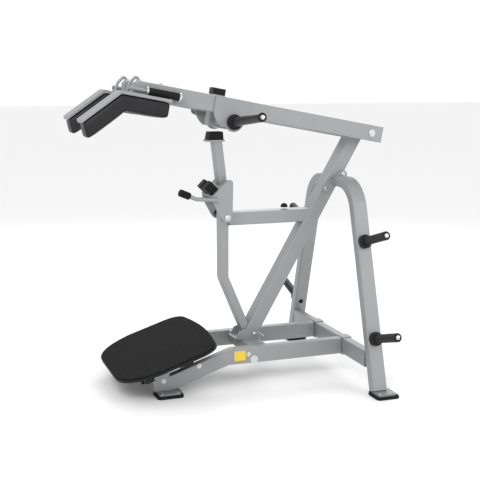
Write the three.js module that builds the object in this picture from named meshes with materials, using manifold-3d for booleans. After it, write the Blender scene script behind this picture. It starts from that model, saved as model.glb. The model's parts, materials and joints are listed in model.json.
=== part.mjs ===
// Hack squat machine, in millimetres. +X is the rear, +Y the right side, +Z up.
// The origin is on the floor under the middle of the machine.
import * as THREE from 'three';
import { mergeVertices } from 'three/addons/utils/BufferGeometryUtils.js';
import Module from 'manifold-3d';

const wasm = await Module();
wasm.setup();

// ---- driving dimensions ----
const GAP = 0.3;                  // clearance left between touching pieces
const DEG = Math.PI / 180;
const SIDES = [['near', -1], ['far', 1]];

const TUBE = { width: 50, height: 96 };                     // base beams and cross tube
const BEAM = { y: 200, bottom: 138, rear: 649, bend: -70, slope: 18.5, front: -529 };
const FOOT = { rubber: 16, plate: 10, corner: 20, rim: 13 };
const FRONT_FOOT = { x: -433, y: 229, length: 152, width: 130 };
const REAR_FOOT = { x: 709, y: 649, length: 138, width: 132 };
const CROSS = { front: 650, width: 52 };

const LEG = { front: 650, depth: 88, width: 60, foot: 609, lean: 16.4, top: 1165, radius: 188 };
const PEG = { radius: 25, length: 272, upper: 837, lower: 302, flange: 40, flangeDepth: 26 };

const MAST = { x: 120, z: 246, lean: 30, depth: 82, width: 102 };
const PIVOT = { x: 845, z: 1452, housing: 38, shaft: 14, bearing: 21 };
const UPRIGHT = { x: -30, depth: 52, width: 76, bend: 612, foot: 128, top: 1012 };
const SPAR = { bottom: 914, top: 1012, width: 76 };
const BUMPER = { x: 359, radius: 21, height: 24 };

const ARM = { slope: 10.5, y: 147, width: 50, height: 92, front: -1450, rear: 72, notch: -1250 };
const HORN = { x: -865, z: -83, radius: 25, length: 428, tilt: 6, plate: 8, flange: 44 };
const PAD = { y: 220, width: 136, top: -25.4, plate: 17, depth: 84, bend: -1547, rear: -1264, reach: 262 };
const BOX_TOP = 58;               // top of the landing box, over the arm's middle line
const RAIL = { y: 214, z: -3, radius: 12, grip: 22, front: -1492, rear: -1190, gripFront: -1394 };

const SWING = { x: -33, z: 980, plateY: 100, plate: 8, postWidth: 76, postDepth: 52, postTop: 1415, handle: 12 };
const DECK = { x: -432, z: 226, slope: 18, length: 618, width: 800, thick: 14, mat: 5 };

// ---- finishes ----
const finish = {
  paint: new THREE.MeshStandardMaterial({ color: 0xb9bbbd, roughness: 0.35, metalness: 0.6 }),
  rubber: new THREE.MeshStandardMaterial({ color: 0x26262a, roughness: 0.85, metalness: 0 }),
  leather: new THREE.MeshStandardMaterial({ color: 0x3a383b, roughness: 0.6, metalness: 0 }),
  chrome: new THREE.MeshStandardMaterial({ color: 0xd8dadc, roughness: 0.15, metalness: 1 }),
  plastic: new THREE.MeshStandardMaterial({ color: 0x2f3033, roughness: 0.5, metalness: 0 }),
};

// ---- solids ----
function solid(geometry) {
  let bare = geometry.index ? geometry.toNonIndexed() : geometry.clone();
  bare.deleteAttribute('normal');
  bare.deleteAttribute('uv');
  bare = mergeVertices(bare, 1e-3);
  return new wasm.Manifold(new wasm.Mesh({
    numProp: 3,
    vertProperties: new Float32Array(bare.attributes.position.array),
    triVerts: new Uint32Array(bare.index.array),
  }));
}

function geometryOf(manifold) {
  const mesh = manifold.getMesh();
  const geometry = new THREE.BufferGeometry();
  geometry.setAttribute('position', new THREE.BufferAttribute(new Float32Array(mesh.vertProperties), 3));
  geometry.setIndex(new THREE.BufferAttribute(new Uint32Array(mesh.triVerts), 1));
  geometry.computeVertexNormals();
  return geometry;
}

const join = (...parts) => parts.reduce((whole, part) => whole.add(part));
const cut = (whole, ...parts) => parts.reduce((rest, part) => rest.subtract(part), whole);

// Box from its centre and its size.
function block(x, y, z, sizeX, sizeY, sizeZ) {
  return solid(new THREE.BoxGeometry(sizeX, sizeY, sizeZ).translate(x, y, z));
}

// Rounded rectangle, centred on the origin.
function roundedRectangle(width, height, radius, steps = 3) {
  const points = [];
  const corners = [[1, 1, 0], [-1, 1, 90], [-1, -1, 180], [1, -1, 270]];
  for (const [sideX, sideY, start] of corners) {
    for (let step = 0; step <= steps; step += 1) {
      const angle = (start + (90 * step) / steps) * DEG;
      points.push(new THREE.Vector2(
        sideX * (width / 2 - radius) + radius * Math.cos(angle),
        sideY * (height / 2 - radius) + radius * Math.sin(angle),
      ));
    }
  }
  return new THREE.Shape(points);
}

// A path through given points, which keeps each one as a step of the sweep.
class PointPath extends THREE.Curve {
  constructor(points) {
    super();
    this.points = points;
  }
  getPoint(t) {
    return this.points[Math.round(t * (this.points.length - 1))].clone();
  }
  getSpacedPoints() {
    return this.points.map((point) => point.clone());
  }
  getTangentAt(u) {
    const last = this.points.length - 1;
    const index = Math.round(u * last);
    const tangent = new THREE.Vector3();
    if (index > 0) tangent.add(this.points[index].clone().sub(this.points[index - 1]).normalize());
    if (index < last) tangent.add(this.points[index + 1].clone().sub(this.points[index]).normalize());
    return tangent.normalize();
  }
}

// Corner points turned into arcs of one radius.
function roundCorners(points, radius, steps = 6) {
  const route = [points[0]];
  for (let i = 1; i < points.length - 1; i += 1) {
    const back = points[i - 1].clone().sub(points[i]).normalize();
    const on = points[i + 1].clone().sub(points[i]).normalize();
    const half = back.angleTo(on) / 2;
    const middle = back.clone().add(on).normalize().multiplyScalar(radius / Math.sin(half)).add(points[i]);
    const start = points[i].clone().addScaledVector(back, radius / Math.tan(half)).sub(middle);
    const axis = start.clone().cross(on).normalize();
    for (let step = 0; step <= steps; step += 1) {
      const turn = ((Math.PI - 2 * half) * step) / steps;
      route.push(start.clone().applyAxisAngle(axis, turn).add(middle));
    }
  }
  route.push(points[points.length - 1]);
  return route;
}

// A section swept along points that lie in one plane.
function sweep(shape, points) {
  return solid(new THREE.ExtrudeGeometry(shape, {
    steps: points.length - 1,
    extrudePath: new PointPath(points),
    bevelEnabled: false,
  }));
}

const vector = (x, y, z) => new THREE.Vector3(x, y, z);

// Round bar between two points.
function rod(from, to, radius, sides = 24) {
  const length = from.distanceTo(to);
  const geometry = new THREE.CylinderGeometry(radius, radius, length, sides);
  geometry.applyQuaternion(new THREE.Quaternion().setFromUnitVectors(
    vector(0, 1, 0), to.clone().sub(from).normalize(),
  ));
  const middle = from.clone().add(to).multiplyScalar(0.5);
  return solid(geometry.translate(middle.x, middle.y, middle.z));
}

// A turned piece: [radius, height] points about an axis that starts at a point.
function turned(profile, from, direction, sides = 28) {
  const points = profile.map(([radius, height]) => new THREE.Vector2(radius, height));
  const geometry = new THREE.LatheGeometry(points, sides);
  geometry.applyQuaternion(new THREE.Quaternion().setFromUnitVectors(
    vector(0, 1, 0), direction.clone().normalize(),
  ));
  return solid(geometry.translate(from.x, from.y, from.z));
}

// Upright outline in X and Z, given thickness along Y about a middle, with softened edges.
function plateXZ(outline, middleY, thickness, bevel = 0) {
  const shape = outline instanceof THREE.Shape
    ? outline
    : new THREE.Shape(outline.map(([x, z]) => new THREE.Vector2(x, z)));
  const geometry = new THREE.ExtrudeGeometry(shape, {
    depth: thickness - 2 * bevel,
    bevelEnabled: bevel > 0,
    bevelThickness: bevel,
    bevelSize: bevel,
    bevelOffset: -bevel,
    bevelSegments: 2,
    curveSegments: 10,
  });
  geometry.rotateX(Math.PI / 2);
  return solid(geometry.translate(0, middleY + thickness / 2 - bevel, 0));
}

// Flat plate in X and Y with rounded corners, from a bottom height.
function plateXY(x, y, z, length, width, thickness, corner) {
  const geometry = new THREE.ExtrudeGeometry(roundedRectangle(length, width, corner, 5), {
    depth: thickness,
    bevelEnabled: false,
  });
  return solid(geometry.translate(x, y, z));
}

const root = new THREE.Group();

function place(name, manifold, material, group = root) {
  const mesh = new THREE.Mesh(geometryOf(manifold), material);
  mesh.name = name;
  group.add(mesh);
}

// Hexagon-headed bolt with a washer, seated on a face.
function bolt(name, from, direction, group = root, size = 11) {
  const profile = [[0, 0], [size * 1.25, 0], [size * 1.25, 2.5], [size, 2.5], [size, 9],
    [size * 0.8, 11], [0, 11]];
  const seat = from.clone().addScaledVector(direction, GAP);
  place(name, turned(profile, seat, direction, 12), finish.chrome, group);
}

// ---- base ----
const slope = Math.tan(BEAM.slope * DEG);
const beamTop = BEAM.bottom + TUBE.height;
const beamTopBend = BEAM.bend + TUBE.height * Math.tan((BEAM.slope / 2) * DEG);
const footTop = FOOT.rubber + FOOT.plate;

// Straight beam, sloping front length and the deep front leg, as one welded outline.
function beamOutline() {
  const legTop = 141;
  const legRear = -424;
  const slopeTop = beamTop - (beamTopBend - legRear) * slope;
  const slopeFoot = BEAM.bend - (BEAM.bottom - footTop + 2) / slope;
  return [
    [BEAM.front, 110], [-509, footTop - 2], [slopeFoot, footTop - 2],
    [BEAM.bend, BEAM.bottom], [BEAM.rear, BEAM.bottom], [BEAM.rear, beamTop],
    [beamTopBend, beamTop], [legRear, slopeTop], [legRear, legTop],
  ];
}

function foot(name, x, y, length, width) {
  const pad = plateXY(x, y, 0, length, width, FOOT.rubber - GAP, FOOT.corner);
  place(name, pad, finish.rubber);
}

function footPlate(x, y, length, width) {
  return plateXY(x, y, FOOT.rubber, length - 2 * FOOT.rim, width - 2 * FOOT.rim, FOOT.plate, 12);
}

function base() {
  for (const [side, sign] of SIDES) {
    const beam = plateXZ(beamOutline(), sign * BEAM.y, TUBE.width, 5);
    const plate = footPlate(FRONT_FOOT.x, sign * FRONT_FOOT.y, FRONT_FOOT.length, FRONT_FOOT.width);
    place(`base_beam_${side}`, join(beam, plate), finish.paint);
    foot(`front_foot_${side}`, FRONT_FOOT.x, sign * FRONT_FOOT.y, FRONT_FOOT.length, FRONT_FOOT.width);
    foot(`rear_foot_${side}`, REAR_FOOT.x, sign * REAR_FOOT.y, REAR_FOOT.length, REAR_FOOT.width);
  }
  const inner = BEAM.y - TUBE.width / 2 - GAP;
  const frontTube = roundedRectangle(50, 50, 6);
  place('front_cross_tube', sweep(frontTube, [vector(-478, -inner, 80), vector(-478, inner, 80)]),
    finish.paint);
}

// Rear cross tube between the legs, with the saddles that take the beams.
function rearCross() {
  const middle = CROSS.front + CROSS.width / 2 + GAP;
  const height = BEAM.bottom + TUBE.height / 2;
  const reach = legMiddle(beamTop + 4) - LEG.width / 2 / Math.cos(LEG.lean * DEG) - GAP;
  const tube = sweep(roundedRectangle(TUBE.height + 2, CROSS.width, 7),
    [vector(middle, -reach, height), vector(middle, reach, height)]);
  const saddles = SIDES.map(([, sign]) => cut(
    plateXZ([[middle - 30, height - 54], [middle + 31, height - 54],
      [middle + 31, height + 54], [middle - 30, height + 54]], sign * BEAM.y, 70),
    block(BEAM.rear - 40, sign * BEAM.y, height, 80 + GAP, 80, 130),
  ));
  place('rear_cross_tube', join(tube, ...saddles), finish.paint);
}

// ---- rear A-frame with its storage pegs ----
const leanTan = Math.tan(LEG.lean * DEG);
const legMiddle = (z) => LEG.foot + (footTop - z) * leanTan;
const legX = LEG.front + LEG.depth / 2;

function legRoute(sign) {
  const corner = vector(legX, sign * legMiddle(LEG.top), LEG.top);
  const route = [
    vector(legX, sign * legMiddle(footTop - 3), footTop - 3),
    corner,
    vector(legX, sign * (MAST.width / 2 + 6), LEG.top),
  ];
  return roundCorners(route, LEG.radius, 8);
}

// Oblong flange that bolts the leg to the side of the mast.
function flange(sign) {
  const shape = new THREE.Shape();
  const half = 68;
  const end = 26;
  shape.absarc(half, 0, end, -Math.PI / 2, Math.PI / 2, false);
  shape.absarc(-half, 0, end, Math.PI / 2, (3 * Math.PI) / 2, false);
  const geometry = new THREE.ExtrudeGeometry(shape, { depth: 8, bevelEnabled: false, curveSegments: 6 });
  geometry.rotateX(Math.PI / 2);
  geometry.rotateY(-36 * DEG);
  const outer = sign * (MAST.width / 2 + GAP + 4) + 4;
  return solid(geometry.translate(662, outer, LEG.top - 4));
}

function aFrame() {
  for (const [side, sign] of SIDES) {
    const leg = sweep(roundedRectangle(LEG.depth, LEG.width, 9), legRoute(sign));
    const plate = footPlate(REAR_FOOT.x, sign * REAR_FOOT.y, REAR_FOOT.length, REAR_FOOT.width);
    const whole = join(leg, plate, flange(sign));
    const floor = block(700, sign * 600, -42 + FOOT.rubber, 400, 400, 84);
    place(`rear_leg_${side}`, cut(whole, floor), finish.paint);
    pegs(side, sign);
  }
}

// Peg with a rubber sleeve, a thick root ring and a rounded tip.
function pegProfile(radius, length, flangeRadius, flangeDepth) {
  return [
    [0, 0], [flangeRadius - 3, 0], [flangeRadius, 3], [flangeRadius, flangeDepth - 4],
    [flangeRadius - 4, flangeDepth], [radius + 4, flangeDepth + 2], [radius, flangeDepth + 7],
    [radius, length - 4], [radius - 4, length], [0, length],
  ];
}

function pegs(side, sign) {
  const out = vector(0, sign * Math.cos(LEG.lean * DEG), Math.sin(LEG.lean * DEG));
  for (const [level, height] of [['upper', PEG.upper], ['lower', PEG.lower]]) {
    const middle = vector(legX, sign * legMiddle(height), height);
    const seat = middle.addScaledVector(out, LEG.width / 2 + GAP);
    const profile = pegProfile(PEG.radius, PEG.length, PEG.flange, PEG.flangeDepth);
    place(`storage_peg_${level}_${side}`, turned(profile, seat, out), finish.rubber);
  }
}

// ---- mast, upright and spar ----
const mastDirection = vector(Math.sin(MAST.lean * DEG), 0, Math.cos(MAST.lean * DEG));

function mastBar(extra = 0) {
  const foot = vector(MAST.x, 0, MAST.z).addScaledVector(mastDirection, -60);
  const head = foot.clone().addScaledVector(mastDirection, 1474);
  const section = roundedRectangle(MAST.width + 2 * extra, MAST.depth + 2 * extra, 8);
  return sweep(section, [foot, head]);
}

function uprightBar(extra = 0) {
  const top = vector(UPRIGHT.x, 0, UPRIGHT.top);
  const bend = vector(UPRIGHT.x, 0, UPRIGHT.bend);
  const foot = vector(UPRIGHT.foot, 0, MAST.z - 10);
  const section = roundedRectangle(UPRIGHT.width + 2 * extra, UPRIGHT.depth + 2 * extra, 7);
  return sweep(section, roundCorners([top, bend, foot], 60, 4));
}

function mast() {
  const below = block(MAST.x, 0, MAST.z - 60 + GAP, 500, 200, 120);
  const housing = rod(vector(PIVOT.x, -116, PIVOT.z), vector(PIVOT.x, 116, PIVOT.z), PIVOT.housing, 32);
  const above = block(PIVOT.x, 0, PIVOT.z + 60, 140, 120, 120);
  const bore = rod(vector(PIVOT.x, -130, PIVOT.z), vector(PIVOT.x, 130, PIVOT.z),
    PIVOT.bearing + GAP, 32);
  const bar = cut(mastBar(), below, above);
  place('mast', cut(join(bar, housing), bore), finish.paint);
  for (const [side, sign] of SIDES) {
    const bush = cut(
      rod(vector(PIVOT.x, sign * 84, PIVOT.z), vector(PIVOT.x, sign * 116, PIVOT.z), PIVOT.bearing, 32),
      rod(vector(PIVOT.x, -130, PIVOT.z), vector(PIVOT.x, 130, PIVOT.z), PIVOT.shaft + GAP, 32),
    );
    place(`pivot_bush_${side}`, bush, finish.plastic);
  }
}

function upright() {
  const below = block(UPRIGHT.foot, 0, MAST.z - 60 + GAP, 300, 200, 120);
  const bore = rod(vector(SWING.x, -60, SWING.z), vector(SWING.x, 60, SWING.z), 12 + GAP, 24);
  place('front_upright', cut(uprightBar(), below, mastBar(GAP), bore), finish.paint);
}

function spar() {
  const height = (SPAR.bottom + SPAR.top) / 2;
  const front = UPRIGHT.x + UPRIGHT.depth / 2 + GAP;
  const bar = sweep(roundedRectangle(SPAR.width, SPAR.top - SPAR.bottom, 7),
    [vector(front, 0, height), vector(540, 0, height)]);
  place('upper_spar', cut(bar, mastBar(GAP)), finish.paint);
  const dome = [[0, 0], [BUMPER.radius, 0], [BUMPER.radius, 6]];
  for (const angle of [25, 50, 70, 90]) {
    dome.push([BUMPER.radius * Math.cos(angle * DEG), 6 + (BUMPER.height - 6) * Math.sin(angle * DEG)]);
  }
  dome[dome.length - 1][0] = 0;
  place('post_bumper', turned(dome, vector(BUMPER.x, 0, SPAR.top + GAP), vector(0, 0, 1), 24),
    finish.rubber);
}

// Cross bracket between the beams, which carries the feet of the mast and the upright.
function mastBase() {
  const inner = BEAM.y - TUBE.width / 2 - GAP;
  const tube = sweep(roundedRectangle(74, 110, 7),
    [vector(120, -inner, MAST.z - 47), vector(120, inner, MAST.z - 47)]);
  const plate = plateXY(120, 0, MAST.z - 10, 190, 124, 10, 14);
  const tabs = SIDES.map(([, sign]) => {
    const shape = new THREE.Shape([[30, 236], [60, 288], [92, 298], [186, 264], [212, 236]]
      .map(([x, z]) => new THREE.Vector2(x, z)));
    return plateXZ(shape, sign * (MAST.width / 2 + GAP + 4), 8);
  });
  const whole = join(tube, plate, ...tabs);
  place('mast_base', cut(whole, uprightBar(GAP), mastBar(GAP).subtract(
    block(120, 0, MAST.z - 100, 500, 200, 200))), finish.paint);
  for (const [side, sign] of SIDES) {
    bolt(`mast_bolt_${side}`, vector(150, sign * (MAST.width / 2 + GAP + 8), 264), vector(0, sign, 0));
  }
}

// ---- standing platform ----
const deckSlope = DECK.slope * DEG;

// A point on the deck: distance up the slope from its middle, and height over its underside.
function deckPoint(along, over) {
  return [
    DECK.x + along * Math.cos(deckSlope) - over * Math.sin(deckSlope),
    DECK.z - DECK.thick - DECK.mat + along * Math.sin(deckSlope) + over * Math.cos(deckSlope),
  ];
}

// Outline from above: large front corners, smaller rear corners and a bowed rear edge.
function deckShape(inset) {
  const halfLength = DECK.length / 2 - inset;
  const halfWidth = DECK.width / 2 - inset;
  const frontCorner = 225 - inset;
  const rearCorner = 120 - inset;
  const bow = 46;
  const shape = new THREE.Shape();
  shape.moveTo(-halfLength, -halfWidth + frontCorner);
  shape.quadraticCurveTo(-halfLength, -halfWidth + 40, -halfLength + frontCorner, -halfWidth);
  shape.lineTo(halfLength - bow - rearCorner, -halfWidth);
  shape.quadraticCurveTo(halfLength - bow + 10, -halfWidth, halfLength - bow + 16, -halfWidth + rearCorner);
  shape.quadraticCurveTo(halfLength + 16, 0, halfLength - bow + 16, halfWidth - rearCorner);
  shape.quadraticCurveTo(halfLength - bow + 10, halfWidth, halfLength - bow - rearCorner, halfWidth);
  shape.lineTo(-halfLength + frontCorner, halfWidth);
  shape.quadraticCurveTo(-halfLength, halfWidth - 40, -halfLength, halfWidth - frontCorner);
  shape.lineTo(-halfLength, -halfWidth + frontCorner);
  return shape;
}

function deckSheet(inset, bottom, thickness) {
  const geometry = new THREE.ExtrudeGeometry(deckShape(inset), {
    depth: thickness, bevelEnabled: false, curveSegments: 8,
  });
  geometry.rotateY(-deckSlope);
  const [x, z] = deckPoint(0, bottom);
  return solid(geometry.translate(x, 0, z));
}

function platform() {
  place('platform_deck', deckSheet(0, 0, DECK.thick), finish.plastic);
  place('platform_mat', deckSheet(6, DECK.thick + GAP, DECK.mat), finish.rubber);
  const low = -96;
  for (const [name, along] of [['front', -150], ['rear', 85]]) {
    const outline = [
      deckPoint(along - 26, -GAP), deckPoint(along + 26, -GAP),
      deckPoint(along + 26, low), deckPoint(along - 26, low),
    ];
    const reach = 2 * (BEAM.y - TUBE.width / 2 - GAP);
    const riser = plateXZ(outline, 0, reach, 3);
    const rail = plateXZ([
      deckPoint(along - 26, -GAP), deckPoint(along + 26, -GAP),
      deckPoint(along + 26, -36), deckPoint(along - 26, -36),
    ], 0, 700, 3);
    place(`platform_bracket_${name}`, join(riser, rail), finish.paint);
  }
}

// ---- swinging rest post ----
function swingPlateOutline() {
  const shape = new THREE.Shape();
  shape.moveTo(-118, 1066);
  shape.lineTo(-66, SWING.z - 8);
  shape.absarc(SWING.x, SWING.z, 30, 195 * DEG, 352 * DEG, false);
  shape.lineTo(1, 1178);
  shape.quadraticCurveTo(-2, 1200, -30, 1198);
  shape.lineTo(-124, 1106);
  shape.lineTo(-118, 1066);
  return shape;
}

function post() {
  const tilt = (SWING.postTop - 1100) * 0.135;
  const foot = vector(-25, 0, 1060);
  const head = vector(-25 - tilt, 0, SWING.postTop);
  return sweep(roundedRectangle(SWING.postWidth, SWING.postDepth, 7), [foot, head]);
}

function swing() {
  const inner = SWING.plateY - SWING.plate / 2;
  const plates = SIDES.map(([, sign]) => plateXZ(swingPlateOutline(), sign * SWING.plateY, SWING.plate));
  const front = plateXZ([[-122, 1104], [-116, 1096], [-24, 1186], [-30, 1194]], 0, 2 * inner + 2);
  const head = plateXY(-80, 0, SWING.postTop - 2, 106, 92, 10, 8);
  const bore = rod(vector(SWING.x, -140, SWING.z), vector(SWING.x, 140, SWING.z), 12 + GAP, 24);
  place('rest_post', cut(join(...plates, front, post(), head), bore), finish.paint);
  const cap = SWING.plateY + SWING.plate / 2;
  place('swing_axle', rod(vector(SWING.x, -cap, SWING.z), vector(SWING.x, cap, SWING.z), 12, 24),
    finish.chrome);
  for (const [side, sign] of SIDES) {
    bolt(`swing_bolt_${side}`, vector(SWING.x, sign * cap, SWING.z), vector(0, sign, 0), root, 14);
    const spacer = cut(
      rod(vector(SWING.x, sign * (UPRIGHT.width / 2 + GAP), SWING.z),
        vector(SWING.x, sign * (inner - GAP), SWING.z), 20, 24),
      rod(vector(SWING.x, -140, SWING.z), vector(SWING.x, 140, SWING.z), 12 + GAP, 24),
    );
    place(`swing_spacer_${side}`, spacer, finish.plastic);
  }
  const restBlock = plateXZ([[-126, SWING.postTop + 8 + GAP], [-33, SWING.postTop + 8 + GAP],
    [-37, 1469], [-117, 1469]], 0, 78, 4);
  place('rest_block', restBlock, finish.rubber);
  catchBlocks();
  handle();
}

// Two rubber blocks on the inclined front plate.
function catchBlocks() {
  const along = vector(0.7, 0, 0.714).normalize();
  const out = vector(-0.714, 0, 0.7).normalize();
  const seat = vector(-122, 0, 1104);
  const start = 4;
  for (const [side, sign] of SIDES) {
    const corner = (a, b) => {
      const point = seat.clone().addScaledVector(along, a).addScaledVector(out, b);
      return [point.x, point.z];
    };
    const outline = [corner(start, GAP), corner(start, 62), corner(start + 56, 62), corner(start + 56, GAP)];
    place(`catch_block_${side}`, plateXZ(outline, sign * 44, 62, 5), finish.rubber);
  }
}

// Bent release handle on the near plate, with a ribbed grip.
function handle() {
  const y = -SWING.plateY - SWING.plate / 2 - SWING.handle - GAP;
  const route = roundCorners([vector(-96, y, 1086), vector(-224, y, 1097), vector(-262, y, 1113)], 24, 4);
  place('release_handle', sweep(ring(SWING.handle, 16), route), finish.paint);
  const from = vector(-262, y, 1113);
  const out = vector(-52, 0, 22).normalize();
  const profile = [[0, 0], [17, 0], [20, 4], [20, 62], [17, 68], [0, 68]];
  place('release_grip', turned(profile, from.addScaledVector(out, GAP), out, 20), finish.rubber);
}

// Round section for a swept rod.
function ring(radius, sides) {
  const points = [];
  for (let i = 0; i < sides; i += 1) {
    const angle = (2 * Math.PI * i) / sides;
    points.push(new THREE.Vector2(radius * Math.cos(angle), radius * Math.sin(angle)));
  }
  return new THREE.Shape(points);
}

// ---- lever arm, modelled level about its pivot with its front toward -X ----
const arm = new THREE.Group();
arm.position.set(PIVOT.x, 0, PIVOT.z);
arm.rotation.y = ARM.slope * DEG;
root.add(arm);

function armTube(sign) {
  const top = ARM.height / 2;
  const outline = [
    [ARM.front, top - 14], [ARM.front, -18], [ARM.notch, -18], [ARM.notch, -top],
    [ARM.rear, -top], [ARM.rear, top], [ARM.front + 12, top],
  ];
  const tube = plateXZ(outline, sign * ARM.y, ARM.width, 4);
  const bore = rod(vector(0, -200, 0), vector(0, 200, 0), PIVOT.shaft + GAP, 24);
  return cut(tube, bore);
}

// Side plate that hangs the loading horn below the arm.
function hornPlate(sign) {
  const shape = new THREE.Shape();
  shape.moveTo(-993, 46);
  shape.lineTo(-993, -42);
  shape.quadraticCurveTo(-978, -96, -930, -122);
  shape.absarc(HORN.x, HORN.z, 54, 215 * DEG, 330 * DEG, false);
  shape.lineTo(-786, -56);
  shape.lineTo(-786, 46);
  shape.lineTo(-993, 46);
  return plateXZ(shape, sign * (ARM.y + ARM.width / 2 + GAP + HORN.plate / 2), HORN.plate);
}

function armSide(side, sign) {
  place(`arm_${side}`, armTube(sign), finish.paint, arm);
  place(`horn_plate_${side}`, hornPlate(sign), finish.paint, arm);
  const face = sign * (ARM.y + ARM.width / 2 + GAP + HORN.plate + GAP);
  const out = vector(0, sign * Math.cos(HORN.tilt * DEG), Math.sin(HORN.tilt * DEG));
  const horn = turned(pegProfile(HORN.radius, HORN.length, HORN.flange, 22),
    vector(HORN.x, face - sign * 4, HORN.z), out);
  const trim = block(HORN.x, face - sign * 100, HORN.z, 200, 200, 200);
  place(`loading_horn_${side}`, cut(horn, trim), finish.rubber, arm);
  bolt(`pivot_bolt_${side}`, vector(0, sign * (ARM.y + ARM.width / 2), 0), vector(0, sign, 0), arm, 18);
}

// Cross member under the arms: a tube between the plates with the upright landing box on it.
function armCentre() {
  const inner = ARM.y + ARM.width / 2 - GAP;
  const tube = rod(vector(HORN.x, -inner, HORN.z - 8), vector(HORN.x, inner, HORN.z - 8), 36, 28);
  const box = plateXZ([[-968, -124], [-894, -124], [-894, BOX_TOP], [-968, BOX_TOP]], 0, 78, 4);
  const web = plateXZ([[-940, -112], [-880, -112], [-880, -60], [-940, -60]], 0, 200, 3);
  place('arm_cross_member', join(tube, box, web), finish.paint, arm);
  const capBottom = BOX_TOP + GAP;
  const cap = plateXZ([[-971, capBottom], [-895, capBottom], [-895, BOX_TOP + 36], [-971, BOX_TOP + 36]],
    0, 80, 5);
  place('landing_box_cap', cap, finish.plastic, arm);
  const inside = ARM.y - ARM.width / 2 - GAP;
  place('arm_front_tube', sweep(roundedRectangle(44, 44, 6),
    [vector(-1412, -inside, 14), vector(-1412, inside, 14)]), finish.paint, arm);
  const shaft = ARM.y + ARM.width / 2;
  place('pivot_shaft', rod(vector(0, -shaft, 0), vector(0, shaft, 0), PIVOT.shaft, 32),
    finish.chrome, arm);
}

// Pad and plate share one bent centre line: level at the rear, sloping down at the front.
function bentOutline(top, depth) {
  const turn = 45.5 * DEG;
  const half = Math.tan(turn / 2);
  const slant = (x, z, far) => [x - far * Math.cos(turn), z - far * Math.sin(turn)];
  const corner = (z) => [PAD.bend + (PAD.top - z) * half, z];
  const outer = corner(top);
  const inner = corner(top - depth);
  return {
    rearTop: [PAD.rear, top],
    bendTop: outer,
    frontTop: slant(...outer, PAD.reach),
    frontBottom: slant(...inner, PAD.reach),
    bendBottom: inner,
    rearBottom: [PAD.rear, top - depth],
  };
}

function padSide(side, sign) {
  const y = sign * PAD.y;
  const plateLines = bentOutline(PAD.top, PAD.plate);
  const plate = plateXZ([plateLines.rearTop, plateLines.bendTop, plateLines.frontTop,
    plateLines.frontBottom, plateLines.bendBottom, plateLines.rearBottom], y, PAD.width - 4, 3);
  place(`pad_plate_${side}`, plate, finish.paint, arm);
  const lines = bentOutline(PAD.top - PAD.plate - GAP, PAD.depth);
  const pad = plateXZ([lines.rearTop, lines.bendTop, lines.frontTop, lines.frontBottom,
    lines.bendBottom, lines.rearBottom], y, PAD.width, 8);
  place(`shoulder_pad_${side}`, pad, finish.leather, arm);
}

// Rail along the outside of the arm with a foam grip on its rear half.
function rail(side, sign) {
  const y = sign * RAIL.y;
  const bar = turned([[0, 0], [8, 1], [RAIL.radius, 5], [RAIL.radius, RAIL.gripFront - RAIL.front],
    [0, RAIL.gripFront - RAIL.front]], vector(RAIL.front, y, RAIL.z), vector(1, 0, 0), 20);
  const rear = rod(vector(RAIL.gripFront - 1, y, RAIL.z), vector(RAIL.rear, y, RAIL.z), 8, 20);
  const face = ARM.y + ARM.width / 2 + GAP;
  const tabReach = RAIL.y + RAIL.radius - face;
  const tab = block(RAIL.rear - 4, sign * (face + tabReach / 2), RAIL.z, 12, tabReach, 34);
  const strut = RAIL.front + 14;
  const post = rod(vector(strut, y, RAIL.z), vector(strut, y, PAD.top + GAP), 9, 16);
  place(`hand_rail_${side}`, join(bar, rear, tab, post), finish.chrome, arm);
  const length = RAIL.rear - 14 - RAIL.gripFront - GAP;
  const start = vector(RAIL.gripFront + GAP, y, RAIL.z);
  const sleeve = cut(
    turned([[0, 0], [RAIL.grip - 3, 0], [RAIL.grip, 3], [RAIL.grip, length - 3],
      [RAIL.grip - 3, length], [0, length]], start, vector(1, 0, 0), 24),
    rod(start.clone().add(vector(-5, 0, 0)), start.clone().add(vector(length + 5, 0, 0)), 8 + GAP, 20),
  );
  place(`hand_grip_${side}`, sleeve, finish.rubber, arm);
  const hook = roundCorners([vector(-1486, sign * ARM.y, PAD.top + GAP), vector(-1478, sign * ARM.y, 26),
    vector(-1452, sign * ARM.y, 62), vector(-1434, sign * ARM.y, 58),
    vector(-1434, sign * ARM.y, ARM.height / 2 + GAP)], 9, 3);
  place(`arm_hook_${side}`, sweep(ring(8, 14), hook), finish.chrome, arm);
}

function leverArm() {
  for (const [side, sign] of SIDES) {
    armSide(side, sign);
    padSide(side, sign);
    rail(side, sign);
  }
  armCentre();
}

base();
rearCross();
aFrame();
mast();
upright();
spar();
mastBase();
platform();
swing();
leverArm();

// Centre the machine over its own origin, front to rear.
const extent = new THREE.Box3().setFromObject(root, true);
root.position.x = -(extent.min.x + extent.max.x) / 2;

export default root;
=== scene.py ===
# Hack squat machine: finishes, soft pads and small hardware over the CAD frame.
# Metres in the row frame: +X rear, +Y the far side, +Z up. Lengths in the tables are millimetres.
import json
import math
import bmesh
import bpy
from mathutils import Matrix, Vector
from mathutils.bvhtree import BVHTree


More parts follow.
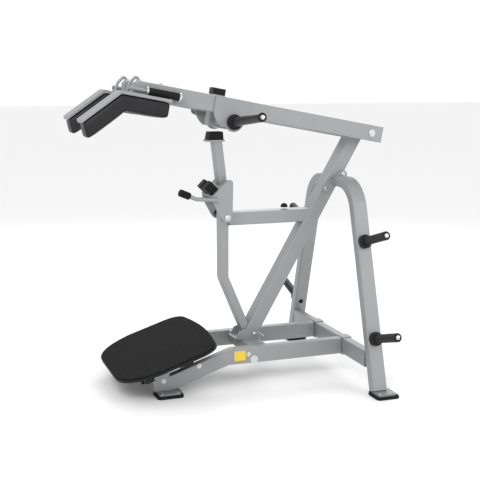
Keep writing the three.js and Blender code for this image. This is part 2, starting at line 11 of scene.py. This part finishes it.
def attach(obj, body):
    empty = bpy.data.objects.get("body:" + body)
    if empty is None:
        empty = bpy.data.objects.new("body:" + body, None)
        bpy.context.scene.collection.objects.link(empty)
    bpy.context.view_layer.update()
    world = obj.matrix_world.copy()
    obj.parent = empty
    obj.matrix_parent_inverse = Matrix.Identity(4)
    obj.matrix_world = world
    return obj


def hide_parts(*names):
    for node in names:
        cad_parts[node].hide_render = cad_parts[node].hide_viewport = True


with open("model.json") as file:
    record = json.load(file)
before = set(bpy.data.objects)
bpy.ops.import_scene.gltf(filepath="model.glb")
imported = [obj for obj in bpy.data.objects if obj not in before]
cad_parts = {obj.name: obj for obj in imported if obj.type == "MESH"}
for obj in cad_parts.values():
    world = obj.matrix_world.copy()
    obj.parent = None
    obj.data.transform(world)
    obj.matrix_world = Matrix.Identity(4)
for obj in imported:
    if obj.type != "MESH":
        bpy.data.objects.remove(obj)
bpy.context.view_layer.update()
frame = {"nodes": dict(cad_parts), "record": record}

MM = 0.001
NODES = frame["nodes"]

# ---- where the joints are, taken from the frame ----
JOINTS = {j["name"]: Vector(j["pos_m"]) for j in frame["record"]["behaviour"]["joints"]}
PIVOT = JOINTS["arm_pivot"]
ARM_SLOPE = math.radians(10.5)
SHIFT = PIVOT.x / MM - 845          # the CAD drawing puts the pivot at x = 845
SIDES = (("near", -1), ("far", 1))
ARM_TURN = Matrix.Rotation(ARM_SLOPE, 4, "Y")
LEG_LEAN = math.radians(16.4)
HORN_TILT = math.radians(6)

# ---- faces that small hardware sits on, in the drawing's millimetres ----
LEG_FLANGE_FACE = 59.4
BEAM_FACE = 225.1
FOOT_PLATE_TOP = 26.1
ARM_TOP = 46.1
RAIL_Y = 214
RAIL_Z = -3
ARM_FRAME = Matrix.Translation(PIVOT) @ ARM_TURN


def at(x, y, z):
    """A point of the machine's drawing, in the row frame."""
    return Vector(((x + SHIFT) * MM, y * MM, z * MM))


def on_arm(x, y, z):
    """A point given level along the lever arm from its pivot, in the row frame."""
    return ARM_FRAME @ Vector((x * MM, y * MM, z * MM))


# ---- materials ----
def new_material(name, color, roughness, metallic=0.0, **sockets):
    material = bpy.data.materials.new(name)
    material.use_nodes = True
    shader = material.node_tree.nodes["Principled BSDF"]
    shader.inputs["Base Color"].default_value = (*color, 1)
    shader.inputs["Roughness"].default_value = roughness
    shader.inputs["Metallic"].default_value = metallic
    for socket, value in sockets.items():
        shader.inputs[socket.replace("_", " ")].default_value = value
    return material, material.node_tree, shader


def mapped(tree, kind, scale, **inputs):
    """A texture that follows the object's own coordinates."""
    coords = tree.nodes.new("ShaderNodeTexCoord")
    texture = tree.nodes.new(kind)
    tree.links.new(coords.outputs["Object"], texture.inputs["Vector"])
    texture.inputs["Scale"].default_value = scale
    for socket, value in inputs.items():
        texture.inputs[socket].default_value = value
    return texture


def vary(tree, shader, socket, factor, low, high):
    """Spreads a texture's value between two numbers or colours on a socket."""
    ramp = tree.nodes.new("ShaderNodeValToRGB")
    pair = [(v, v, v, 1) if isinstance(v, float) else (*v, 1) for v in (low, high)]
    ramp.color_ramp.elements[0].position = 0.3
    ramp.color_ramp.elements[1].position = 0.7
    ramp.color_ramp.elements[0].color = pair[0]
    ramp.color_ramp.elements[1].color = pair[1]
    tree.links.new(factor, ramp.inputs["Fac"])
    tree.links.new(ramp.outputs["Color"], shader.inputs[socket])


def bump(tree, shader, height, strength, distance):
    node = tree.nodes.new("ShaderNodeBump")
    node.inputs["Strength"].default_value = strength
    node.inputs["Distance"].default_value = distance
    tree.links.new(height, node.inputs["Height"])
    tree.links.new(node.outputs["Normal"], shader.inputs["Normal"])


def grained(name, color, roughness, metallic, scale, spread, depth, **sockets):
    """A finish with a little variation in colour and gloss, and a fine surface grain."""
    if not metallic:
        sockets.setdefault("Specular_IOR_Level", 0.22)
    material, tree, shader = new_material(name, color, roughness, metallic, **sockets)
    cloud = mapped(tree, "ShaderNodeTexNoise", 6.0, Detail=4.0)
    low = tuple(c * (1 - spread) for c in color)
    high = tuple(min(1.0, c * (1 + spread)) for c in color)
    vary(tree, shader, "Base Color", cloud.outputs["Fac"], low, high)
    vary(tree, shader, "Roughness", cloud.outputs["Fac"], roughness * 0.9, min(1.0, roughness * 1.1))
    fine = mapped(tree, "ShaderNodeTexNoise", scale, Detail=3.0)
    bump(tree, shader, fine.outputs["Fac"], 0.35, depth)
    return material


def ribbed_mat(name, color):
    """Tread rubber with ribs across the platform."""
    material, tree, shader = new_material(name, color, 0.82, Specular_IOR_Level=0.12)
    wave = mapped(tree, "ShaderNodeTexWave", 21.0)
    wave.wave_type = "BANDS"
    wave.bands_direction = "X"
    cloud = mapped(tree, "ShaderNodeTexNoise", 14.0, Detail=3.0)
    vary(tree, shader, "Base Color", cloud.outputs["Fac"], tuple(c * 0.8 for c in color),
         tuple(c * 1.3 for c in color))
    bump(tree, shader, wave.outputs["Fac"], 0.9, 0.0022)
    return material


def leather(name, color):
    """Upholstery with a pebbled grain."""
    material, tree, shader = new_material(name, color, 0.46, Specular_IOR_Level=0.25)
    pebble = mapped(tree, "ShaderNodeTexVoronoi", 420.0)
    cloud = mapped(tree, "ShaderNodeTexNoise", 9.0, Detail=4.0)
    vary(tree, shader, "Base Color", cloud.outputs["Fac"], tuple(c * 0.85 for c in color),
         tuple(c * 1.2 for c in color))
    bump(tree, shader, pebble.outputs["Distance"], 0.3, 0.0006)
    return material


LOOKS = {
    "frame_paint": grained("silver_paint", (0.30, 0.305, 0.31), 0.52, 0.50, 900.0, 0.05, 0.00012,
                           Coat_Weight=0.12, Coat_Roughness=0.35),
    "pad_cover": leather("pad_cover", (0.016, 0.0145, 0.016)),
    "tread_rubber": ribbed_mat("tread_rubber", (0.006, 0.006, 0.0065)),
    "foot_rubber": grained("foot_rubber", (0.007, 0.007, 0.0075), 0.78, 0.0, 500.0, 0.2, 0.0003),
    "stop_rubber": grained("stop_rubber", (0.006, 0.006, 0.0065), 0.66, 0.0, 500.0, 0.2, 0.0003),
    "grip_foam": grained("grip_foam", (0.007, 0.007, 0.0075), 0.72, 0.0, 700.0, 0.2, 0.0005),
    "peg_sleeve": grained("peg_sleeve", (0.008, 0.007, 0.007), 0.42, 0.0, 600.0, 0.2, 0.0002),
    "black_plastic": grained("black_plastic", (0.008, 0.008, 0.0085), 0.5, 0.0, 600.0, 0.15, 0.0002),
    "plated_steel": grained("plated_steel", (0.66, 0.66, 0.67), 0.22, 1.0, 300.0, 0.05, 0.00006),
    # black_paint is painted shade: the platform brackets under the deck get flat near-black to stand in
    # for the deep shadow beneath the platform.
    "black_paint": grained("black_paint", (0.012, 0.012, 0.013), 0.45, 0.0, 600.0, 0.15, 0.0002),
    "label": grained("label", (0.75, 0.53, 0.06), 0.45, 0.0, 300.0, 0.04, 0.00004),
    "disc": grained("disc", (0.55, 0.56, 0.58), 0.35, 0.3, 300.0, 0.04, 0.00004),
    "seam": grained("seam", (0.010, 0.010, 0.011), 0.6, 0.0, 900.0, 0.1, 0.0001),
}


def finish_nodes():
    """Every CAD node gets its slot's finish and softly rounded edges."""
    for entry in frame["record"]["subparts"]:
        node = NODES[entry["node"]]
        node.data.materials.clear()
        node.data.materials.append(LOOKS[entry["material_slot"]])
        edge = node.modifiers.new("soft_edges", "BEVEL")
        edge.width = 0.0008
        edge.segments = 2
        edge.limit_method = "ANGLE"
        edge.angle_limit = math.radians(40)
        node.data.shade_smooth()
        split = node.modifiers.new("facets", "EDGE_SPLIT")
        split.split_angle = math.radians(32)


# ---- small pieces ----
def piece(name, mesh, look, body):
    obj = bpy.data.objects.new(name, mesh)
    bpy.context.scene.collection.objects.link(obj)
    mesh.materials.clear()
    mesh.materials.append(LOOKS[look])
    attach(obj, body)
    return obj


def lathe_mesh(name, profile, start, direction, sides=32):
    """A turned mesh from (radius, height) pairs in mm, about an axis from a start point."""
    mesh = bpy.data.meshes.new(name)
    work = bmesh.new()
    turn = Vector((0, 0, 1)).rotation_difference(direction).to_matrix()
    rings = []
    for radius, height in profile:
        count = 1 if radius == 0 else sides
        ring = []
        for i in range(count):
            angle = 2 * math.pi * i / count
            local = Vector((radius * math.cos(angle), radius * math.sin(angle), height)) * MM
            ring.append(work.verts.new(start + turn @ local))
        rings.append(ring)
    for low, high in zip(rings, rings[1:]):
        for i in range(sides):
            j = (i + 1) % sides
            if len(low) == 1:
                work.faces.new((low[0], high[j], high[i]))
            elif len(high) == 1:
                work.faces.new((low[i], low[j], high[0]))
            else:
                work.faces.new((low[i], low[j], high[j], high[i]))
    bmesh.ops.recalc_face_normals(work, faces=work.faces)
    work.to_mesh(mesh)
    work.free()
    mesh.shade_smooth()
    mesh.set_sharp_from_angle(angle=math.radians(35))
    return mesh


WASHER = [(0, 0), (13.5, 0), (13.5, 1.8), (10.5, 2.2), (0, 2.2)]
HEAD = [(0, 2.2), (9.6, 2.2), (9.6, 8.2), (8.2, 9.6), (0, 9.6)]


def fastener(name, start, direction, body, scale=1.0):
    """Hexagon bolt head over a round washer."""
    for part, profile, sides in (("_washer", WASHER, 32), ("", HEAD, 6)):
        sized = [(radius * scale, height * scale) for radius, height in profile]
        mesh = lathe_mesh(name + part, sized, start, direction, sides)
        piece(name + part, mesh, "plated_steel", body)


def hardware():
    for side, sign in SIDES:
        out = Vector((0, sign, 0))
        for index, (x, z) in enumerate([(717, 1201), (607, 1121)]):
            fastener(f"leg_bolt_{index}_{side}", at(x, sign * LEG_FLANGE_FACE, z), out, "frame")
        if sign < 0:
            fastener("beam_bolt", at(50, sign * BEAM_FACE, 194), out, "frame")
        for index, (x, z) in enumerate([(-459, 85), (-249, 153)]):
            fastener(f"platform_bolt_{index}_{side}", at(x, sign * BEAM_FACE, z), out, "frame")
        for foot, x, y in (("front", -433, 229), ("rear", 709, 649)):
            for end in (-1, 1):
                place = at(x + end * 46, sign * (y + 38), FOOT_PLATE_TOP)
                fastener(f"{foot}_foot_bolt_{end + 1}_{side}", place, Vector((0, 0, 1)), "frame", 0.6)
        up = ARM_TURN @ Vector((0, 0, 1))
        for index, x in enumerate([-1425, -1306]):
            fastener(f"arm_bolt_{index}_{side}", on_arm(x, sign * 147, ARM_TOP), up, "lever_arm")


def end_plugs():
    """Bright plugs in the tips of the pegs and horns."""
    plug = [(0, -1), (12, -1), (12, 1.4), (9, 2.6), (0, 3.0)]
    for entry in frame["record"]["subparts"]:
        name = entry["node"]
        if entry["material_slot"] != "peg_sleeve":
            continue
        body = "lever_arm" if name.startswith("loading_horn") else "frame"
        tip, direction = peg_tip(name)
        piece(name + "_plug", lathe_mesh(name + "_plug", plug, tip, direction), "plated_steel", body)


def peg_tip(name):
    """Middle of a peg's outer end face and the way it points, from the CAD node."""
    mesh = NODES[name].data
    sign = 1 if name.endswith("far") else -1
    if name.startswith("loading_horn"):
        direction = ARM_TURN @ Vector((0, sign * math.cos(HORN_TILT), math.sin(HORN_TILT)))
    else:
        direction = Vector((0, sign * math.cos(LEG_LEAN), math.sin(LEG_LEAN)))
    far = max(v.co.dot(direction) for v in mesh.vertices)
    rim = [v.co for v in mesh.vertices if v.co.dot(direction) > far - 0.0005]
    low = Vector([min(p[i] for p in rim) for i in range(3)])
    high = Vector([max(p[i] for p in rim) for i in range(3)])
    return (low + high) / 2, direction


def leg_plug():
    """Black plug on the inner face of the far leg, level with the lower peg."""
    inward = Vector((0, -math.cos(LEG_LEAN), -math.sin(LEG_LEAN)))
    middle = 609 + (26 - 302) * math.tan(LEG_LEAN)
    start = at(694, middle, 302) + inward * 0.0301
    profile = [(0, 0), (15, 0), (15, 2), (11, 4), (0, 4.4)]
    piece("leg_plug", lathe_mesh("leg_plug", profile, start, inward), "stop_rubber", "frame")


def release_ribs():
    """Rings round the release grip."""
    out = Vector((-52, 0, 22)).normalized()
    start = at(-262, -116.3, 1113)
    profile = []
    for index in range(9):
        base = 7 + index * 6.4
        profile += [(19.6, base), (21.2, base + 1.4), (21.2, base + 3.4), (19.6, base + 4.8)]
    piece("release_grip_ribs", lathe_mesh("release_grip_ribs", [(0, 7)] + profile + [(0, 64)], start, out),
          "grip_foam", "rest_post")


def grip_ends():
    """Bright collars at both ends of each hand grip."""
    collar = [(0, -2), (23.4, -2), (23.8, 1), (23.8, 6), (23.0, 9), (0, 9)]
    along = ARM_TURN @ Vector((1, 0, 0))
    for side, sign in SIDES:
        for end, x in (("front", -1396), ("rear", -1211)):
            name = f"grip_collar_{end}_{side}"
            mesh = lathe_mesh(name, collar, on_arm(x, sign * RAIL_Y, RAIL_Z), along)
            piece(name, mesh, "plated_steel", "lever_arm")


def flat_plate(name, outline, y, thickness, look):
    """A thin plate on a face that looks toward -Y, from an outline in X and Z."""
    mesh = bpy.data.meshes.new(name)
    work = bmesh.new()
    front = [work.verts.new(at(x, y - thickness, z)) for x, z in outline]
    back = [work.verts.new(at(x, y, z)) for x, z in outline]
    work.faces.new(front)
    work.faces.new(back[::-1])
    count = len(outline)
    for i in range(count):
        j = (i + 1) % count
        work.faces.new((front[j], front[i], back[i], back[j]))
    bmesh.ops.recalc_face_normals(work, faces=work.faces)
    work.to_mesh(mesh)
    work.free()
    piece(name, mesh, look, "frame")


def labels():
    """Plain yellow label and a plain round disc on the near beam, both without lettering."""
    half_x, half_z, corner = 34, 29, 6
    outline = []
    for side_x, side_z, start in ((1, 1, 0), (-1, 1, 90), (-1, -1, 180), (1, -1, 270)):
        for step in range(5):
            angle = math.radians(start + 22.5 * step)
            outline.append((-2 + side_x * (half_x - corner) + corner * math.cos(angle),
                            188 + side_z * (half_z - corner) + corner * math.sin(angle)))
    flat_plate("plain_label", outline, -BEAM_FACE, 0.5, "label")
    disc = [(86 + 23 * math.cos(math.radians(a)), 159 + 23 * math.sin(math.radians(a)))
            for a in range(0, 360, 10)]
    flat_plate("plain_disc", disc, -BEAM_FACE, 0.7, "disc")


# ---- shoulder pads ----
PAD_TOP = -42.7
PAD_BEND = -1547 + 17.3 * math.tan(math.radians(45.5 / 2))
PAD_SLOPE = math.radians(45.5)
PAD_DEPTH = 84
PAD_REAR = -1268
PAD_REACH = 258
PAD_MIDDLE = 220
SEAM_FROM_MIDDLE = 66
SEAM_INSET = 4
SEAM_STEPS = 14
PAD_START = 0.97          # size the cushion starts from, before air
PAD_CAP = 0.009           # furthest the air may move its surface, in metres
INTO_ARM = ARM_FRAME.inverted()


def depth_under_plate(point):
    """How far a row-frame point lies below the bent plate that carries the pad."""
    local = INTO_ARM @ point
    level = PAD_TOP * MM - local.z
    x = local.x - PAD_BEND * MM
    z = local.z - PAD_TOP * MM
    sloped = x * math.sin(PAD_SLOPE) - z * math.cos(PAD_SLOPE)
    return min(level, sloped)


def inflated_pad(node):
    """Cloth with air in it, held where it meets the plate, its swelling capped."""
    source = NODES[node]
    mesh = source.data.copy()
    pad = bpy.data.objects.new("cushion_" + node, mesh)
    bpy.context.scene.collection.objects.link(pad)
    middle = sum((v.co for v in mesh.vertices), Vector()) / len(mesh.vertices)
    for vertex in mesh.vertices:
        vertex.co = middle + (vertex.co - middle) * PAD_START
        vertex.co += ARM_TURN @ Vector((0, 0, 0.0015))
    bpy.context.view_layer.objects.active = pad
    remesh = pad.modifiers.new("remesh", "REMESH")
    remesh.mode = "VOXEL"
    remesh.voxel_size = 0.006
    bpy.ops.object.select_all(action="DESELECT")
    pad.select_set(True)
    bpy.ops.object.modifier_apply(modifier="remesh")
    before = [v.co.copy() for v in pad.data.vertices]
    held = pad.vertex_groups.new(name="held")
    held.add([i for i, p in enumerate(before) if depth_under_plate(p) < 0.010], 1.0, "REPLACE")
    cloth = pad.modifiers.new("air", "CLOTH")
    settings = cloth.settings
    settings.use_pressure = True
    settings.uniform_pressure_force = 4
    settings.tension_stiffness = 40
    settings.compression_stiffness = 40
    settings.bending_stiffness = 4
    settings.mass = 0.3
    settings.effector_weights.gravity = 0
    settings.vertex_group_mass = "held"
    cloth.point_cache.frame_start = 1
    cloth.point_cache.frame_end = 20
    for number in range(1, 21):
        bpy.context.scene.frame_set(number)
    bpy.ops.object.modifier_apply(modifier="air")
    bpy.context.scene.frame_set(1)
    pad.vertex_groups.clear()
    for vertex, start in zip(pad.data.vertices, before):
        move = vertex.co - start
        if move.length > PAD_CAP:
            vertex.co = start + move.normalized() * PAD_CAP
        sink = 0.0006 - depth_under_plate(vertex.co)
        if sink > 0:
            vertex.co -= (ARM_TURN @ Vector((0, 0, 1))) * sink
    smooth = pad.modifiers.new("smooth", "SMOOTH")
    smooth.factor = 0.5
    smooth.iterations = 26
    bpy.ops.object.modifier_apply(modifier="smooth")
    finer = pad.modifiers.new("finer", "SUBSURF")
    finer.levels = 1
    finer.render_levels = 1
    bpy.ops.object.modifier_apply(modifier="finer")
    pad.data.shade_smooth()
    pad.data.materials.clear()
    pad.data.materials.append(LOOKS["pad_cover"])
    return pad


def seam_route(offset, y):
    """The pad's outline seen from its side, pulled inward, level part first."""
    top = PAD_TOP - offset
    low = PAD_TOP - PAD_DEPTH + offset
    half = math.tan(PAD_SLOPE / 2)

    def slant(z):
        bend = PAD_BEND + (PAD_TOP - z) * half
        return bend, (bend - PAD_REACH * math.cos(PAD_SLOPE), z - PAD_REACH * math.sin(PAD_SLOPE))

    top_bend, top_front = slant(top)
    low_bend, low_front = slant(low)
    corners = [(PAD_REAR, top), (top_bend, top), top_front, low_front, (low_bend, low), (PAD_REAR, low)]
    points = []
    for (ax, az), (bx, bz) in zip(corners, corners[1:] + corners[:1]):
        for step in range(SEAM_STEPS):
            t = step / SEAM_STEPS
            points.append(on_arm(ax + (bx - ax) * t, y, az + (bz - az) * t))
    return points


def seams(pad, side, sign):
    """Dark piping round both faces of the pad, laid on its surface."""
    surface = BVHTree.FromObject(pad, bpy.context.evaluated_depsgraph_get())
    for index, offset_y in enumerate((-SEAM_FROM_MIDDLE, SEAM_FROM_MIDDLE)):
        curve = bpy.data.curves.new("seam", "CURVE")
        curve.dimensions = "3D"
        curve.bevel_depth = 0.0016
        curve.bevel_resolution = 2
        route = []
        for point in seam_route(SEAM_INSET, sign * PAD_MIDDLE + offset_y):
            route.append(surface.find_nearest(point)[0])
        line = curve.splines.new("POLY")
        line.points.add(len(route) - 1)
        for target, point in zip(line.points, route):
            target.co = (*point, 1)
        line.use_cyclic_u = True
        holder = bpy.data.objects.new("seam_curve", curve)
        mesh = bpy.data.meshes.new_from_object(holder)
        bpy.data.objects.remove(holder)
        mesh.shade_smooth()
        piece(f"pad_seam_{index}_{side}", mesh, "seam", "lever_arm")


def pads():
    for side, sign in SIDES:
        node = "shoulder_pad_" + side
        pad = inflated_pad(node)
        seams(pad, side, sign)
        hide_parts(node)
        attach(pad, "lever_arm")


# ---- studio ----
def area_light(name, place, target, size, power):
    light = bpy.data.lights.new(name, "AREA")
    light.shape = "RECTANGLE"
    light.size = size
    light.size_y = size * 0.7
    light.energy = power
    holder = bpy.data.objects.new(name, light)
    holder.location = place
    aim = Vector(target) - Vector(place)
    holder.rotation_euler = aim.to_track_quat("-Z", "Y").to_euler()
    bpy.context.scene.collection.objects.link(holder)


def studio():
    mesh = bpy.data.meshes.new("floor")
    half = 60
    mesh.from_pydata([(-half, -half, 0), (half, -half, 0), (half, half, 0), (-half, half, 0)], [],
                     [(0, 1, 2, 3)])
    floor = bpy.data.objects.new("floor", mesh)
    bpy.context.scene.collection.objects.link(floor)
    pale, _, _ = new_material("pale_floor", (0.9, 0.9, 0.9), 0.9)
    mesh.materials.append(pale)
    world = bpy.data.worlds.new("studio")
    world.use_nodes = True
    world.node_tree.nodes["Background"].inputs["Color"].default_value = (1, 1, 1, 1)
    world.node_tree.nodes["Background"].inputs["Strength"].default_value = 1.0
    bpy.context.scene.world = world
    bpy.context.scene.view_settings.view_transform = "Standard"
    area_light("key", (-3.0, -4.2, 4.6), (0, 0, 0.8), 2.8, 130)
    area_light("fill", (3.6, -3.6, 2.6), (0, 0, 0.8), 3.0, 40)
    area_light("back", (1.5, 4.2, 3.8), (0, 0, 0.9), 3.0, 80)


def camera():
    lens = bpy.data.cameras.new("camera")
    lens.sensor_width = 36
    lens.lens = 70.275
    holder = bpy.data.objects.new("camera", lens)
    holder.location = at(-1765, -5150, 1762.3)
    holder.rotation_euler = (math.radians(90 - 9.7), 0, math.radians(-19.7))
    bpy.context.scene.collection.objects.link(holder)
    bpy.context.scene.camera = holder


finish_nodes()
hardware()
end_plugs()
leg_plug()
release_ribs()
grip_ends()
labels()
pads()
studio()
camera()
